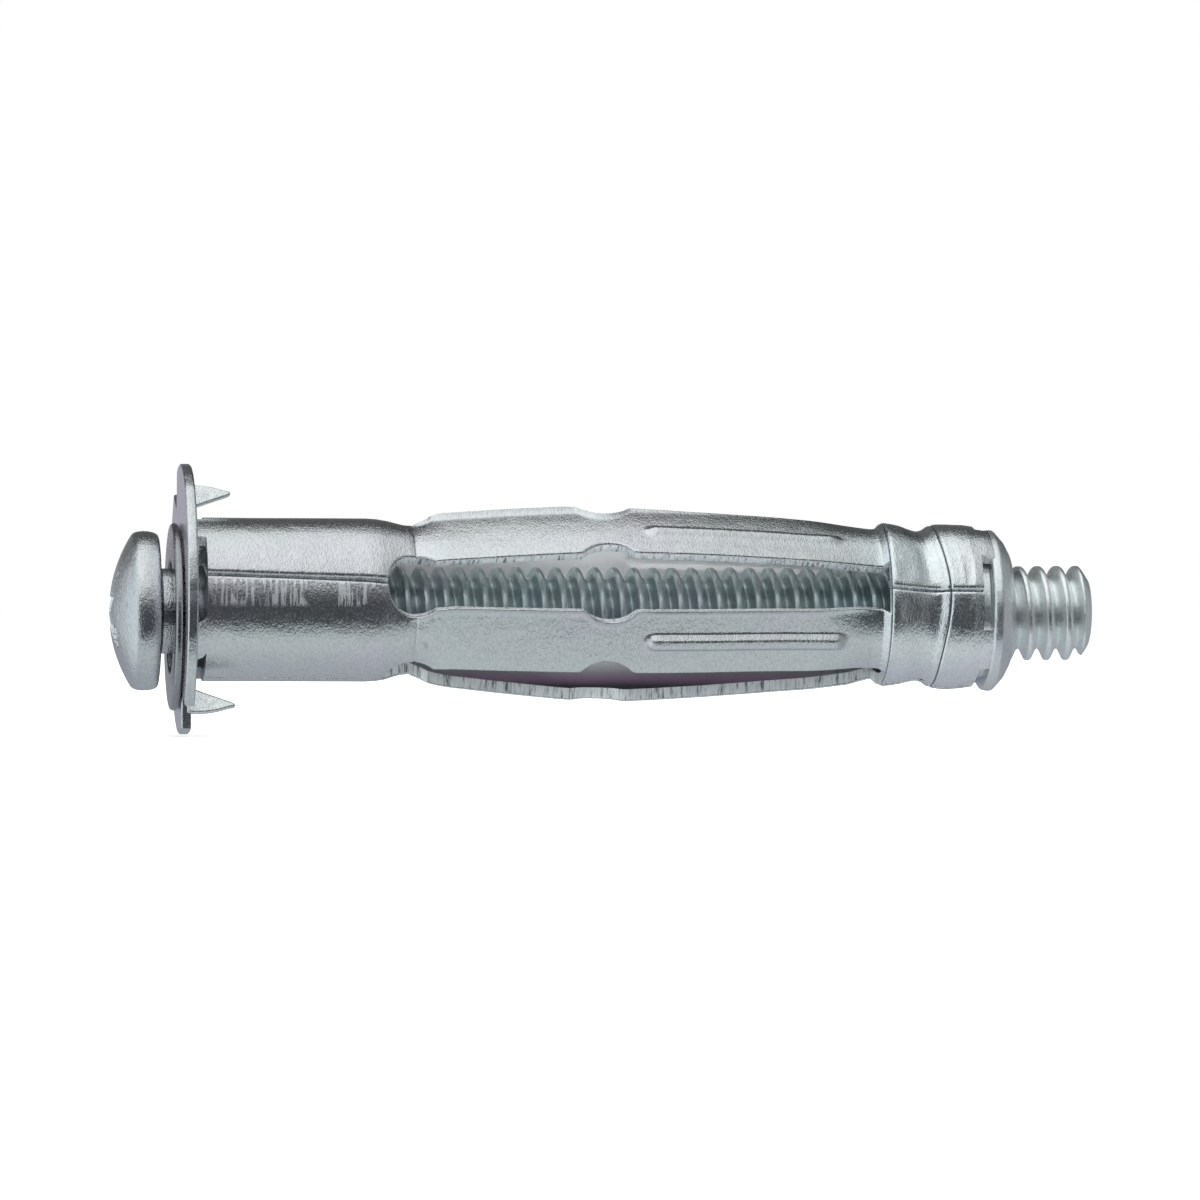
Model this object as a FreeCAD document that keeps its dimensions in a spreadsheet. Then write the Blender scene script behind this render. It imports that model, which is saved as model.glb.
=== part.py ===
import FreeCAD, Part
import math
import os

import Sketcher
from FreeCAD import Placement, Rotation, Vector

# Hollow wall anchor: a rolled and slotted sheet sleeve on a toothed flange plate,
# with a flanged nut crimped in its tail and a pan-head machine screw through it.
# Millimetres. X runs along the sleeve, from the wall face of the flange plate
# towards the free end of the screw. Z is up. The origin is the centre of the
# plate's wall face, on the sleeve's axis.

SIZES = {
    # Sheet sleeve
    "SheetThickness": 0.8,
    "BarrelRadius": 5.27,
    "BarrelLength": 11.8,
    "WaistRadius": 5.0,
    "WaistX": 14.1,
    "CrestRadius": 6.1,
    "CrestDrop": 0.07,
    "CrestStartX": 24.5,
    "CrestEndX": 30.0,
    "LegEndRadius": 4.8,
    "LegEndX": 44.9,
    "LegWidth": 4.75,
    "LegCount": 4,
    "SeamAngle": 15.0,
    "SeamGap": 0.3,
    "TailSeamGap": 0.1,
    # Notches in the legs' edges
    "BulbRadius": 1.9,
    "NotchX": 26.5,
    "NotchHalfLength": 1.74,
    "NotchDepth": 0.93,
    "SlotEndX": 44.6,
    # Beads pressed in the rear half of each leg
    "BeadStartX": 28.95,
    "BeadEndX": 42.2,
    "BeadWidth": 1.05,
    "BeadHeight": 0.25,
    "BeadRamp": 1.0,
    # Crimped tail
    "TailRadius": 5.33,
    "TailStep": 0.5,
    "GrooveX": 47.8,
    "GrooveRadius": 5.0,
    "GrooveRise": 0.9,
    "TailLipRadius": 5.4,
    "TailEndX": 52.0,
    "TailEndRadius": 5.1,
    "TailRoll": 1.3,
    "TongueAngle": 44.0,
    "TongueLength": 0.9,
    # Front tabs of the barrel, staked through the plate
    "TabAngle": 28.0,
    "TabNotchX": 0.8,
    # Flange plate
    "PlateRadius": 8.75,
    "PlateThickness": 0.5,
    "PlateHoleRadius": 3.85,
    "ClawOffset": 2.7,
    "ClawRootNear": 5.84,
    "ClawRootFar": 7.25,
    "ClawTip": 6.8,
    "ClawTipWidth": 0.2,
    "ClawLength": 3.0,
    "ClawReliefSide": 2.9,
    "ClawReliefDrop": 1.0,
    # Screw
    "ScrewDrop": 0.6,
    "ThreadRadius": 3.08,
    "ThreadPitch": 1.27,
    "ThreadDepth": 0.74,
    "ThreadCrest": 0.14,
    "ThreadStartX": 0.535,
    "ScrewEndX": 58.7,
    "PointRadius": 2.25,
    "PointLength": 0.75,
    "HeadGap": 1.3,
    "HeadRadius": 5.15,
    "HeadRimRadius": 4.85,
    "HeadFootRadius": 4.85,
    "HeadSide": 1.95,
    "HeadDome": 1.45,
    "RecessArm": 2.9,
    "RecessWidth": 1.3,
    "RecessDepth": 1.2,
    # Washer
    "WasherRadius": 6.05,
    "WasherThickness": 0.5,
    "WasherPlay": 0.4,
    "WasherGap": 0.25,
    # Nut
    "ThreadClearance": 0.05,
    "NutFrontX": 45.6,
    "NutSeatClearance": 0.02,
    "FlangeGap": 0.1,
    "FlangeRadius": 5.2,
    "FlangeThickness": 0.8,
    "FlangeDome": 0.6,
    "FlangeFaceRadius": 3.8,
    # General clearance of staked and seated sheet parts
    "StakeClearance": 0.03,
}

FULL_TURN = 360
CUT_REACH = 9.0
CUT_ROOT = 1.5
EDGE_BREAK = 0.12

doc = FreeCAD.newDocument("wall_anchor")
sheet = doc.addObject("Spreadsheet::Sheet", "sizes")
for row, (alias, value) in enumerate(SIZES.items(), start=1):
    sheet.set(f"A{row}", alias)
    sheet.set(f"B{row}", str(value))
    sheet.setAlias(f"B{row}", alias)
doc.recompute()


class Size:
    """A length or angle that carries its number and its formula over the sheet."""

    def __init__(self, value, formula):
        self.value = value
        self.formula = formula

    def __add__(self, other):
        other = size(other)
        return Size(self.value + other.value, f"({self.formula} + {other.formula})")

    def __sub__(self, other):
        other = size(other)
        return Size(self.value - other.value, f"({self.formula} - {other.formula})")

    def __mul__(self, other):
        other = size(other)
        return Size(self.value * other.value, f"({self.formula} * {other.formula})")

    def __truediv__(self, other):
        other = size(other)
        return Size(self.value / other.value, f"({self.formula} / {other.formula})")

    def __neg__(self):
        return Size(-self.value, f"(-1 * {self.formula})")


def size(item):
    """The Size of an alias of the sheet, of a plain number, or of a Size itself."""
    if isinstance(item, Size):
        return item
    if isinstance(item, str):
        return Size(float(sheet.get(item)), f"sizes.{item}")
    return Size(float(item), str(item))


def bind(thing, prop, item):
    """Tie a property of a feature to a formula over the sheet."""
    thing.setExpression(prop, size(item).formula)


def origin_part(body, role):
    """The origin plane or axis of a body that has this role."""
    return next(f for f in body.Origin.OriginFeatures if f.Role == role)


def new_body(label):
    body = doc.addObject("PartDesign::Body", label)
    body.Label = label
    return body


def new_sketch(body, name, plane, offset=None):
    sketch = body.newObject("Sketcher::SketchObject", name)
    sketch.AttachmentSupport = [(origin_part(body, plane), "")]
    sketch.MapMode = "FlatFace"
    if offset is not None:
        sketch.AttachmentOffset = offset
    return sketch


def pin(sketch, geometry, point, corner):
    """Fix a point of a sketch at a corner (across, up) given as sizes."""
    for kind, item in (("DistanceX", corner[0]), ("DistanceY", corner[1])):
        item = size(item)
        name = f"{kind}_{geometry}_{point}"
        index = sketch.addConstraint(Sketcher.Constraint(kind, -1, 1, geometry, point, item.value))
        sketch.renameConstraint(index, name)
        sketch.setExpression(f"Constraints.{name}", item.formula)


def point_of(corner):
    return Vector(size(corner[0]).value, size(corner[1]).value, 0)


def draw_outline(sketch, corners, arcs=None):
    """Draw a closed outline through corners. arcs gives, for the edge that leaves a
    corner, the point (across, up) that the edge bulges through, level with neither end."""
    arcs = arcs or {}
    count = len(corners)
    for i, corner in enumerate(corners):
        start = point_of(corner)
        end = point_of(corners[(i + 1) % count])
        if i in arcs:
            through = point_of(arcs[i]["through"])
            edge = Part.Arc(start, through, end)
            sketch.addGeometry(edge, False)
        else:
            sketch.addGeometry(Part.LineSegment(start, end), False)
    for i in range(count):
        starts_at = start_index(sketch, i, corners[i])
        pin(sketch, i, starts_at, corners[i])
        before = (i - 1) % count
        ends_at = 3 - start_index(sketch, before, corners[before])
        sketch.addConstraint(Sketcher.Constraint("Coincident", before, ends_at, i, starts_at))
    for i, arc in arcs.items():
        radius = size(arc["radius"])
        index = sketch.addConstraint(Sketcher.Constraint("Radius", i, radius.value))
        sketch.renameConstraint(index, f"Radius_{i}")
        sketch.setExpression(f"Constraints.Radius_{i}", radius.formula)


def start_index(sketch, geometry, corner):
    """1 or 2: which end of a piece of geometry lies at a corner."""
    first = sketch.getPoint(geometry, 1)
    return 1 if first.distanceToPoint(point_of(corner)) < 1e-6 else 2


def arc_over(left, right, rise):
    """An arc between two corners at one height, given by how far it rises over them."""
    half = (size(right[0]) - left[0]) / 2
    rise = size(rise)
    radius = (half * half / rise + rise) / 2
    if radius.value < 0:
        radius = -radius
    middle = (size(left[0]) + right[0]) / 2
    return {"through": (middle, size(left[1]) + rise), "radius": radius}


def drawn(body, name, plane, corners, arcs=None, offset=None):
    sketch = new_sketch(body, name, plane, offset)
    draw_outline(sketch, corners, arcs)
    return sketch


def circle(body, name, plane, centre, radius, offset=None):
    sketch = new_sketch(body, name, plane, offset)
    place = point_of(centre)
    sketch.addGeometry(Part.Circle(place, Vector(0, 0, 1), size(radius).value), False)
    pin(sketch, 0, 3, centre)
    index = sketch.addConstraint(Sketcher.Constraint("Radius", 0, size(radius).value))
    sketch.renameConstraint(index, "radius")
    bind(sketch, "Constraints.radius", radius)
    return sketch


def feature(body, kind, name, sketch, **values):
    made = body.newObject(f"PartDesign::{kind}", name)
    made.Profile = sketch
    for key, value in values.items():
        setattr(made, key, value)
    sketch.Visibility = False
    return made


def turned(body, name, sketch, kind="Revolution"):
    """A full turn of an outline about the body's X axis."""
    made = feature(body, kind, name, sketch, Angle=FULL_TURN)
    made.ReferenceAxis = (sketch, ["H_Axis"])
    return made


def around(body, name, originals, count):
    """Repeat features round the body's X axis."""
    made = body.newObject("PartDesign::PolarPattern", name)
    made.Originals = originals
    made.Axis = (origin_part(body, "X_Axis"), [""])
    made.Angle = FULL_TURN
    bind(made, "Occurrences", count)
    body.Tip = made
    return made


def in_line(body, name, original, reach, count):
    """Repeat a feature along the body's X axis, from its own place as far as reach."""
    made = body.newObject("PartDesign::LinearPattern", name)
    made.Originals = [original]
    made.Direction = (origin_part(body, "X_Axis"), [""])
    bind(made, "Length", reach)
    bind(made, "Occurrences", count)
    body.Tip = made
    return made


def lifted(distance):
    """An offset of a sketch along its own normal."""
    return Placement(Vector(0, 0, distance), Rotation())


def tilted(angle):
    """A turn of a sketch about its own across axis."""
    return Placement(Vector(0, 0, 0), Rotation(Vector(1, 0, 0), angle))


# Sleeve: one rolled sheet
# It is drawn with its seam straight up and then rolled to the seam's real angle.

def sheet_line():
    """The outer line of the sheet, from the front tabs to the tail's end."""
    crest_edge = size("CrestRadius") - "CrestDrop"
    tail_flat = size("LegEndX") + "TailStep"
    rise = size("GrooveX") + "GrooveRise"
    return [
        (-size("PlateThickness"), "BarrelRadius"),
        ("BarrelLength", "BarrelRadius"),
        ("WaistX", "WaistRadius"),
        ("CrestStartX", crest_edge),
        ("CrestEndX", crest_edge),
        ("LegEndX", "LegEndRadius"),
        (tail_flat, "TailRadius"),
        ("GrooveX", "GrooveRadius"),
        (rise, "TailLipRadius"),
        (size("TailEndX") - "TailRoll", "TailLipRadius"),
        ("TailEndX", "TailEndRadius"),
    ]


CREST = 3


def leg_radius(x):
    """The outer radius of the sheet at the front, crest or rear of a leg's edge."""
    return {
        "front": size("WaistRadius"),
        "crest": size("CrestRadius"),
        "rear": size("LegEndRadius"),
    }[x]


def spread(where, inset=0.0):
    """Half the gap between two legs, per millimetre of height over the axis."""
    half_leg = size("LegWidth") / 2 - inset
    ratio = half_leg / leg_radius(where)
    value = math.tan(math.radians(45) - math.asin(ratio.value))
    return Size(value, f"tan(45 deg - asin({ratio.formula}))")


def slot_outline(height):
    """Outline of the slot between two legs, seen on a plane this high over the axis.
    Every line from the axis through the outline is a cut edge square to the sheet."""
    front = spread("front") * height
    crest = spread("crest") * height
    rear = spread("rear") * height
    notch = spread("crest", "NotchDepth") * height
    before = size("NotchX") - "NotchHalfLength"
    after = size("NotchX") + "NotchHalfLength"
    corners = [
        ("WaistX", -front),
        (before, -crest),
        (after, -crest),
        ("SlotEndX", -rear),
        ("SlotEndX", rear),
        (after, crest),
        (before, crest),
        ("WaistX", front),
    ]
    depth = notch - crest
    arcs = {
        1: arc_over(corners[1], corners[2], -depth),
        5: arc_over(corners[6], corners[5], depth),
    }
    return corners, arcs


def make_sleeve():
    body = new_body("sleeve")
    outer = sheet_line()
    thickness = size("SheetThickness")
    inner = [(x, size(r) - thickness) for x, r in outer]
    corners = outer + inner[::-1]
    last = len(corners) - 1
    arcs = {
        CREST: arc_over(outer[CREST], outer[CREST + 1], "CrestDrop"),
        last - CREST - 1: arc_over(inner[CREST], inner[CREST + 1], "CrestDrop"),
    }
    turned(body, "rolled_sheet", drawn(body, "sheet_section", "XZ_Plane", corners, arcs))
    doc.recompute()

    high, high_arcs = slot_outline(CUT_REACH)
    low, low_arcs = slot_outline(CUT_ROOT)
    top = drawn(body, "slot_top", "XY_Plane", high, high_arcs, lifted(CUT_REACH))
    root = drawn(body, "slot_root", "XY_Plane", low, low_arcs, lifted(CUT_ROOT))
    slot = feature(body, "SubtractiveLoft", "slot", top, Ruled=True)
    slot.Sections = [root]
    doc.recompute()
    around(body, "slots", [slot], "LegCount")
    doc.recompute()

    centre = ("WaistX", 0)
    cone_top = size("BulbRadius") * CUT_REACH / "WaistRadius"
    cone_root = size("BulbRadius") * CUT_ROOT / "WaistRadius"
    top = circle(body, "bulb_top", "XY_Plane", centre, cone_top, lifted(CUT_REACH))
    root = circle(body, "bulb_root", "XY_Plane", centre, cone_root, lifted(CUT_ROOT))
    bulb = feature(body, "SubtractiveLoft", "bulb", top, Ruled=True)
    bulb.Sections = [root]
    doc.recompute()
    around(body, "bulbs", [bulb], "LegCount")
    doc.recompute()

    front = [
        (-size("PlateThickness") * 2, CUT_ROOT),
        ("TabNotchX", CUT_ROOT),
        ("TabNotchX", CUT_REACH),
        (-size("PlateThickness") * 2, CUT_REACH),
    ]
    between = size(FULL_TURN) / "LegCount"
    notch = feature(body, "Groove", "tab_notch", drawn(body, "tab_section", "XZ_Plane", front))
    notch.ReferenceAxis = (doc.getObject("tab_section"), ["H_Axis"])
    notch.Midplane = True
    bind(notch, "Angle", between - "TabAngle")
    doc.recompute()
    around(body, "tab_notches", [notch], "LegCount")
    doc.recompute()

    rear = [
        (size("TailEndX") - "TongueLength", CUT_ROOT),
        (size("TailEndX") + "TongueLength", CUT_ROOT),
        (size("TailEndX") + "TongueLength", CUT_REACH),
        (size("TailEndX") - "TongueLength", CUT_REACH),
    ]
    cut = feature(body, "Groove", "tongue_notch", drawn(body, "tongue_section", "XZ_Plane", rear))
    cut.ReferenceAxis = (doc.getObject("tongue_section"), ["H_Axis"])
    cut.Midplane = True
    bind(cut, "Angle", between - "TongueAngle")
    doc.recompute()
    around(body, "tongue_notches", [cut], "LegCount")
    doc.recompute()

    for name, start, end, gap in (
        ("barrel_seam", -size("PlateThickness") * 2, size("WaistX"), "SeamGap"),
        ("tail_seam", size("SlotEndX") - "TailSeamGap", size("TailEndX"), "TailSeamGap"),
    ):
        half = size(gap) / 2
        strip = [(start, -half), (end, -half), (end, half), (start, half)]
        seam = feature(body, "Pocket", name, drawn(body, f"{name}_line", "XY_Plane", strip))
        seam.Length = CUT_REACH
        seam.Reversed = True
        doc.recompute()

    drop = (size("CrestRadius") - "CrestDrop" - "LegEndRadius") / (size("LegEndX") - "CrestEndX")

    def surface(x):
        return size("LegEndRadius") + drop * (size("LegEndX") - x)

    start = size("BeadStartX")
    end = size("BeadEndX")
    ramp = size("BeadRamp")
    sunk = thickness / 2
    ridge = [
        (start, surface(start) - sunk),
        (end, surface(end) - sunk),
        (end, surface(end)),
        (end - ramp, surface(end - ramp) + "BeadHeight"),
        (start + ramp, surface(start + ramp) + "BeadHeight"),
        (start, surface(start) - "CrestDrop"),
    ]
    side = drawn(body, "bead_side", "XZ_Plane", ridge, offset=tilted(45))
    bead = feature(body, "Pad", "bead", side, SideType="Symmetric")
    bind(bead, "Length", "BeadWidth")
    doc.recompute()
    around(body, "beads", [bead], "LegCount")
    doc.recompute()

    body.Placement = Placement(Vector(0, 0, 0), Rotation(Vector(1, 0, 0), 90))
    bind(body, "Placement.Rotation.Angle", size(90) - "SeamAngle")
    return body


# Flange plate: a stamped disc with two claws folded back

def make_plate():
    body = new_body("flange_plate")
    disc = circle(body, "plate_rim", "YZ_Plane", (0, 0), "PlateRadius")
    pad = feature(body, "Pad", "plate_disc", disc)
    pad.Reversed = True
    bind(pad, "Length", "PlateThickness")
    doc.recompute()

    hole = circle(body, "plate_hole_line", "YZ_Plane", (0, 0), "PlateHoleRadius")
    cut = feature(body, "Pocket", "plate_hole", hole, Length=CUT_REACH, SideType="Symmetric")
    doc.recompute()

    clearance = size("StakeClearance")
    inner = size("BarrelRadius") - "SheetThickness" - clearance
    outer = size("BarrelRadius") + clearance
    through = size("PlateThickness") * 2
    ring = [(-through, inner), (through, inner), (through, outer), (-through, outer)]
    section = drawn(body, "stake_section", "XZ_Plane", ring, offset=tilted(30))
    bind(section, "AttachmentOffset.Rotation.Angle", size(45) - "SeamAngle")
    stake = feature(body, "Groove", "stake_slot", section)
    stake.ReferenceAxis = (section, ["H_Axis"])
    stake.Midplane = True
    bind(stake, "Angle", size("TabAngle") + 2)
    doc.recompute()
    around(body, "stake_slots", [stake], "LegCount")
    doc.recompute()
    return body


def add_claws(body):
    offset = size("ClawOffset")
    near = size("ClawRootNear")
    far = size("ClawRootFar")
    relief = [
        (offset, -near),
        (offset, -size("PlateRadius")),
        (offset + "ClawReliefSide", -size("PlateRadius")),
        (offset + "ClawReliefSide", -(near + "ClawReliefDrop")),
    ]
    mirrored = [(-size(across), up) for across, up in relief]
    gap = feature(body, "Pocket", "claw_relief", drawn(body, "relief_line", "YZ_Plane", mirrored))
    gap.Length = CUT_REACH
    gap.SideType = "Symmetric"
    doc.recompute()
    around(body, "claw_reliefs", [gap], 2)
    doc.recompute()

    tip = size("ClawTip")
    half = size("ClawTipWidth") / 2
    tooth = [
        (-size("PlateThickness"), -near),
        (0, -near),
        ("ClawLength", -(tip - half)),
        ("ClawLength", -(tip + half)),
        (0, -far),
        (-size("PlateThickness"), -far),
    ]
    side = drawn(body, "claw_side", "XZ_Plane", tooth, offset=lifted(1.0))
    bind(side, "AttachmentOffset.Base.z", offset - "PlateThickness")
    claw = feature(body, "Pad", "claw", side)
    bind(claw, "Length", "PlateThickness")
    doc.recompute()
    around(body, "claws", [claw], 2)
    doc.recompute()


# Screw, washer and nut share the low axis that the screw lies on

def lower(body, drop):
    body.Placement = Placement(Vector(0, 0, -size(drop).value), Rotation())
    bind(body, "Placement.Base.z", -size(drop))


def cut_thread(body):
    """Level grooves, one to each turn of the thread, stand in for its helix."""
    root = size("ThreadRadius") - "ThreadDepth"
    above = size("ThreadRadius") + EDGE_BREAK
    half_top = (size("ThreadPitch") - "ThreadCrest") / 2
    half_above = half_top + half_top / "ThreadDepth" * EDGE_BREAK
    groove = [
        ("ThreadStartX", root),
        (size("ThreadStartX") + half_above, above),
        (size("ThreadStartX") - half_above, above),
    ]
    section = drawn(body, "thread_section", "XZ_Plane", groove)
    first = feature(body, "Groove", "thread_groove", section, Angle=FULL_TURN)
    first.ReferenceAxis = (section, ["H_Axis"])
    room = size("ScrewEndX") - "PointLength" - half_top - "ThreadStartX"
    turns = Size(math.floor((room / "ThreadPitch").value), f"floor({(room / 'ThreadPitch').formula})")
    in_line(body, "thread_grooves", first, turns * "ThreadPitch", turns + 1)
    doc.recompute()


def make_screw():
    body = new_body("screw")
    foot = -(size("PlateThickness") + "HeadGap")
    rim = foot - "HeadSide"
    apex = rim - "HeadDome"
    middle = (foot + rim) / 2
    chord = size("HeadRimRadius")
    dome = size("HeadDome")
    dome_radius = (chord * chord / dome + dome) / 2
    half = (foot - rim) / 2
    crown = size("HeadRadius") - "HeadRimRadius"
    crown_radius = (half * half / crown + crown) / 2
    corners = [
        (apex, 0),
        (rim, "HeadRimRadius"),
        (foot, "HeadFootRadius"),
        (foot, "ThreadRadius"),
        (size("ScrewEndX") - "PointLength", "ThreadRadius"),
        ("ScrewEndX", "PointRadius"),
        ("ScrewEndX", 0),
    ]
    angle = math.asin(chord.value / dome_radius.value) / 2
    through_x = apex.value + dome_radius.value * (1 - math.cos(angle))
    through_r = dome_radius.value * math.sin(angle)
    arcs = {
        0: {"through": (through_x, through_r), "radius": dome_radius},
        1: {"through": (middle, "HeadRadius"), "radius": crown_radius},
    }
    turned(body, "screw_turned", drawn(body, "screw_section", "XZ_Plane", corners, arcs))
    doc.recompute()
    cut_thread(body)

    arm = size("RecessArm")
    half = size("RecessWidth") / 2
    cross = [
        (arm, -half), (arm, half), (half, half), (half, arm),
        (-half, arm), (-half, half), (-arm, half), (-arm, -half),
        (-half, -half), (-half, -arm), (half, -arm), (half, -half),
    ]
    face = drawn(body, "recess_cross", "YZ_Plane", cross, offset=lifted(-5.0))
    bind(face, "AttachmentOffset.Base.z", apex)
    recess = feature(body, "Pocket", "recess", face, Reversed=True)
    bind(recess, "Length", "RecessDepth")
    doc.recompute()
    body.Tip = recess
    lower(body, "ScrewDrop")
    return body


def make_washer():
    body = new_body("washer")
    back = -(size("PlateThickness") + "WasherGap")
    front = back - "WasherThickness"
    bore = size("ThreadRadius") + "WasherPlay"
    ring = [(front, bore), (front, "WasherRadius"), (back, "WasherRadius"), (back, bore)]
    turned(body, "washer_ring", drawn(body, "washer_section", "XZ_Plane", ring))
    doc.recompute()
    lower(body, size("ScrewDrop") + "WasherPlay" - "StakeClearance")
    return body


def make_nut():
    body = new_body("nut")
    bore = size("ThreadRadius") + "ThreadClearance"
    seat = size("GrooveRadius") - "SheetThickness"
    barrel = seat - "ScrewDrop" - "NutSeatClearance"
    face = size("TailEndX") + "FlangeGap"
    rear = face + "FlangeThickness"
    corners = [
        ("NutFrontX", bore),
        ("NutFrontX", barrel),
        (face, barrel),
        (face, "FlangeRadius"),
        (rear, "FlangeRadius"),
        (rear + "FlangeDome", "FlangeFaceRadius"),
        (rear + "FlangeDome", bore),
    ]
    turned(body, "nut_turned", drawn(body, "nut_section", "XZ_Plane", corners))
    doc.recompute()
    lower(body, "ScrewDrop")
    return body


def check(bodies):
    """Stop if any object failed, or if a piece isn't one valid closed solid."""
    for thing in doc.Objects:
        if "Invalid" in thing.State or "Error" in thing.State:
            raise RuntimeError(f"{thing.Name} failed: {thing.State}")
    for body in bodies:
        shape = body.Shape
        if shape.isNull() or not shape.isValid() or len(shape.Solids) != 1:
            raise RuntimeError(f"{body.Label} is not one valid solid")


def main():
    plate = make_plate()
    add_claws(plate)
    bodies = [make_sleeve(), plate, make_screw(), make_washer(), make_nut()]
    doc.recompute()
    check(bodies)
    os.makedirs("parts", exist_ok=True)
    for body in bodies:
        body.Shape.exportStep(f"parts/{body.Label}.step")
        box = body.Shape.BoundBox
        print(body.Label, round(body.Shape.Volume, 2), [round(v, 2) for v in (
            box.XMin, box.XMax, box.YMin, box.YMax, box.ZMin, box.ZMax)])


main()
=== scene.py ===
import math

import bpy
import numpy as np
from mathutils import Matrix, Vector


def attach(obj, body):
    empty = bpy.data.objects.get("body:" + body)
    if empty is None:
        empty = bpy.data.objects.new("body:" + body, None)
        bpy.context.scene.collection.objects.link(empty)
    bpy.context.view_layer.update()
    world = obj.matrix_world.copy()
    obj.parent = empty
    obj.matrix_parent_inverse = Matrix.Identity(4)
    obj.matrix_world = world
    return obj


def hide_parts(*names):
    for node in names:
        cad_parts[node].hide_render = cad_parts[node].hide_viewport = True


# Looks of the hollow wall anchor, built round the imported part.
# Lengths are in millimetres until a mesh is made. X runs along the sleeve towards the
# screw's free end, -Y points at the camera and Z up. Angles round the X axis are counted
# from the camera's side (-Y) towards up (+Z).

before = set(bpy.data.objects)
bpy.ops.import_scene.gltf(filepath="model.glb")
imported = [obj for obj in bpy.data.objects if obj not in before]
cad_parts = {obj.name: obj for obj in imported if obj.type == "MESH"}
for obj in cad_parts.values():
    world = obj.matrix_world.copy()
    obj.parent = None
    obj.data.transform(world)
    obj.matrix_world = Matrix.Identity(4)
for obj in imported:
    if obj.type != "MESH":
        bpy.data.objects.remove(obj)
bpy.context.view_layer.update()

MM = 0.001
FULL_TURN = 2 * math.pi
BLACK = (0, 0, 0)
WHITE = (1, 1, 1)

# How far pieces hang below the sleeve's axis. The screw's line is (X, drop).
SCREW_LINE = [(-6, 0.76), (5, 0.80), (18, 0.88), (32, 0.87), (46, 0.76), (58.7, 0.62)]
NUT_DROP = 0.5
WASHER_DROP = 1.15


# Numbers

def along_line(line, x):
    """Height at x of a line of (place, height)."""
    places, heights = zip(*line)
    return np.interp(x, places, heights)


def smooth(t):
    """Ease from 0 to 1, level at both ends."""
    t = min(1.0, max(0.0, t))
    return t * t * (3 - 2 * t)


def off_by(degrees, middle):
    """Degrees from middle, between -180 and 180."""
    return (degrees - middle + 180) % 360 - 180


def wobble(x, angle, seed):
    """A gentle uneven field from -1 to 1, the same on every run."""
    total = np.zeros(np.broadcast(x, angle).shape)
    source = np.random.default_rng(seed)
    for _ in range(9):
        across = source.integers(1, 7)
        along = source.uniform(0.1, 0.9)
        turn = source.uniform(0, FULL_TURN)
        shift = source.uniform(0, FULL_TURN)
        total = total + np.sin(along * x + turn) * np.cos(across * angle + shift)
    return total / 4.0


# Meshes

def add_object(name, data):
    thing = bpy.data.objects.new(name, data)
    bpy.context.scene.collection.objects.link(thing)
    return thing


def shade_smooth(mesh, sharp):
    """Smooth shading, but for edges sharper than this many degrees."""
    mesh.polygons.foreach_set("use_smooth", [True] * len(mesh.polygons))
    mesh.set_sharp_from_angle(angle=math.radians(sharp))


def make_mesh(name, points, faces, materials, sharp, drop=0.0, kinds=None):
    """A mesh object from points in millimetres.

    drop is a height or a line along X to hang it by. kinds is each face's material number.
    """
    placed = np.array(points, float)
    placed[:, 2] -= along_line(drop, placed[:, 0]) if isinstance(drop, list) else drop
    placed *= MM
    mesh = bpy.data.meshes.new(name)
    mesh.from_pydata(placed.tolist(), [], [list(f) for f in faces])
    mesh.validate()
    mesh.update()
    shade_smooth(mesh, sharp)
    for material in materials:
        mesh.materials.append(material)
    if kinds is not None:
        mesh.polygons.foreach_set("material_index", kinds)
    return add_object(name, mesh)


def joined(points):
    """Which points are the first at their place, and which of those each point joins."""
    keys = np.round(points, 4)
    _, first, inverse = np.unique(keys, axis=0, return_index=True, return_inverse=True)
    return first, np.asarray(inverse).reshape(-1)


def rejoined(faces, inverse):
    """Faces over joined points, without those that vanish."""
    kept = []
    for face in faces:
        ring = []
        for index in face:
            new = int(inverse[index])
            if not ring or ring[-1] != new:
                ring.append(new)
        if len(ring) > 1 and ring[0] == ring[-1]:
            ring.pop()
        if len(set(ring)) == len(ring) and len(ring) > 2:
            kept.append(ring)
    return kept


def merge(points, faces):
    """Join points that share a place and drop faces that vanish."""
    points = np.asarray(points, float)
    first, inverse = joined(points)
    return points[first], rejoined(faces, inverse)


def ring_point(x, radius, angle):
    return (x, -radius * math.cos(angle), radius * math.sin(angle))


def ring(x, radius, segments, sense=1):
    """Points round the X axis."""
    return [ring_point(x, radius, sense * FULL_TURN * k / segments) for k in range(segments)]


def turned_mesh(profile, segments=128):
    """Turn a closed line of (x, radius) about the X axis."""
    points = []
    for x, radius in profile:
        points += ring(x, radius, segments)
    faces = []
    for i in range(len(profile)):
        here = i * segments
        there = (i + 1) % len(profile) * segments
        for k in range(segments):
            m = (k + 1) % segments
            faces.append([here + k, there + k, there + m, here + m])
    return merge(points, faces)


def rounded(corners, radii, steps=5):
    """A closed line through corners with each corner rounded by its radius."""
    line = []
    for i, (corner, radius) in enumerate(zip(corners, radii)):
        here = np.array(corner, float)
        if radius <= 0:
            line.append(tuple(here))
            continue
        a = np.array(corners[i - 1], float) - here
        b = np.array(corners[(i + 1) % len(corners)], float) - here
        a /= np.linalg.norm(a)
        b /= np.linalg.norm(b)
        half = math.acos(max(-1, min(1, float(a @ b)))) / 2
        reach = radius / math.tan(half)
        centre = here + (a + b) / np.linalg.norm(a + b) * radius / math.sin(half)
        start = here + a * reach - centre
        end = here + b * reach - centre
        for s in range(steps + 1):
            t = s / steps
            blend = start * (1 - t) + end * t
            line.append(tuple(centre + blend / np.linalg.norm(blend) * radius))
    return line


# Shader nodes. Helpers give back the sockets to link on from.

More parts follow.
